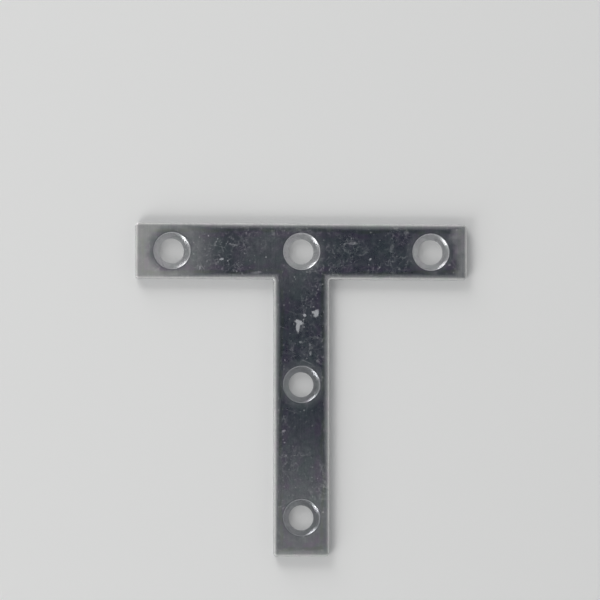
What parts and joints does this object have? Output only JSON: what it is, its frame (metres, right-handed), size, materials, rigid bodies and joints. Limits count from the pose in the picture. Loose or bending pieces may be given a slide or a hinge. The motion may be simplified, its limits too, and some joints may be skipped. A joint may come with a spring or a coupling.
{
  "type": "t plate bracket",
  "caption": "Flat T-shaped mending plate of zinc-plated steel, with countersunk screw holes along its crossbar and stem, for tying timbers at a T joint.",
  "frame": {"origin": "on the axis of the crossing hole, on the back face that lies against the timber", "axes": "+X along the crossbar, -Y down the stem, +Z out of the countersunk face"},
  "size_m": [0.0762, 0.0761, 0.0019],
  "materials": {
    "zinc_plated_steel": "bright zinc plating on rolled sheet, lightly scuffed"
  },
  "bodies": {
    "root": {"t_plate": "zinc_plated_steel"}
  },
  "joints": []
}
